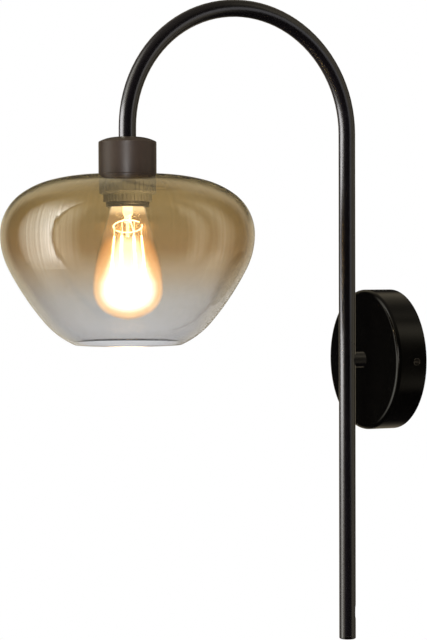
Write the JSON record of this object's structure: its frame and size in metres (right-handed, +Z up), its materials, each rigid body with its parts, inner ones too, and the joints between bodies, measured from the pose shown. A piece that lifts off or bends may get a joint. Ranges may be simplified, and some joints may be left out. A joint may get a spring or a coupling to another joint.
{
  "type": "hanging pendant wall sconce",
  "caption": "Wall sconce: bent black tube on a round canopy, with a bronze lampholder cup, ribbed shade ring, blown amber to smoke glass shade and a pear-shaped screw bulb.",
  "frame": {"origin": "centre of the canopy's back, in the wall plane", "axes": "+Y goes into the wall, square to it, +Z up along the tube, and the lamp hangs in front of the wall at -Y"},
  "size_m": [0.2322, 0.3926, 0.6087],
  "materials": {
    "zinc_steel": "zinc plated, satin",
    "bright_screw": "bright nickel plated",
    "brass": "turned, slightly dull",
    "white_plastic": "moulded, matt",
    "black_paint": "satin black powder coat",
    "bronze_paint": "satin dark bronze lacquer",
    "lead_brown": "soft insulation",
    "lead_blue": "soft insulation",
    "lead_green": "soft insulation, green and yellow",
    "holder_plastic": "moulded thermoset, satin",
    "ring_plastic": "moulded, satin, ribbed",
    "ceramic_insert": "unglazed porcelain",
    "shade_glass": "blown, amber at the top fading to smoky grey, lightly mirrored",
    "bulb_glass": "clear amber, thin blown",
    "cap_metal": "nickelled brass, rolled thread",
    "black_glass": "fused black glass",
    "solder": "tinned",
    "stem_glass": "clear glass",
    "feed_wire": "bright wire",
    "filament": "glowing phosphor coat"
  },
  "bodies": {
    "fixture": {"wall_bracket": "zinc_steel", "earth_screw": "brass", "terminal_block": "white_plastic", "terminal_tubes": "brass", "terminal_screws": "zinc_steel", "terminal_block_screw": "zinc_steel", "canopy": "black_paint", "canopy_side_screws": "bright_screw", "canopy_nipple": "zinc_steel", "canopy_washer": "zinc_steel", "earth_tag": "brass", "canopy_nut": "zinc_steel", "arm_boss": "black_paint", "arm_tube": "black_paint", "foot_plug": "black_paint", "tube_bush": "zinc_steel", "lead_live": "lead_brown", "lead_neutral": "lead_blue", "lead_earth": "lead_green", "lamp_nipple": "zinc_steel", "lamp_cup": "bronze_paint", "cup_washer": "zinc_steel", "holder_cap": "holder_plastic", "holder_insert": "ceramic_insert", "holder_terminals": "brass", "holder_terminal_screws": "zinc_steel", "shell_contact": "brass", "centre_contact": "brass", "holder_skirt": "holder_plastic"},
    "shade": {"glass_shade": "shade_glass"},
    "ring": {"shade_ring": "ring_plastic"},
    "bulb_carrier": {"bulb_button": "solder"},
    "bulb": {"bulb_glass": "bulb_glass", "bulb_cap": "cap_metal", "bulb_insulator": "black_glass", "bulb_stem": "stem_glass", "bulb_lead_wires": "feed_wire", "bulb_filaments": "filament", "bulb_filament_tails": "feed_wire", "bulb_lower_ring": "feed_wire"}
  },
  "joints": [
    {"name": "shade_drop", "type": "slide", "parent": "fixture", "child": "shade", "axis": [0, 0, -1], "range_m": [0, 0.0075]},
    {"name": "ring_turn", "type": "hinge", "parent": "shade", "child": "ring", "pos_m": [0, -0.2766, 0.16], "axis": [0, 0, -1], "range_deg": [0, 1080]},
    {"name": "bulb_drop", "type": "slide", "parent": "fixture", "child": "bulb_carrier", "axis": [0, 0, -1], "range_m": [0, 0.01452]},
    {"name": "bulb_turn", "type": "hinge", "parent": "bulb_carrier", "child": "bulb", "pos_m": [0, -0.2766, 0.17], "axis": [0, 0, -1], "range_deg": [0, 1440]}
  ],
  "couplings": [
    {"joint": "ring_turn", "follows": "shade_drop", "rad_per_m": 2513.3},
    {"joint": "bulb_turn", "follows": "bulb_drop", "rad_per_m": 1730.9}
  ]
}
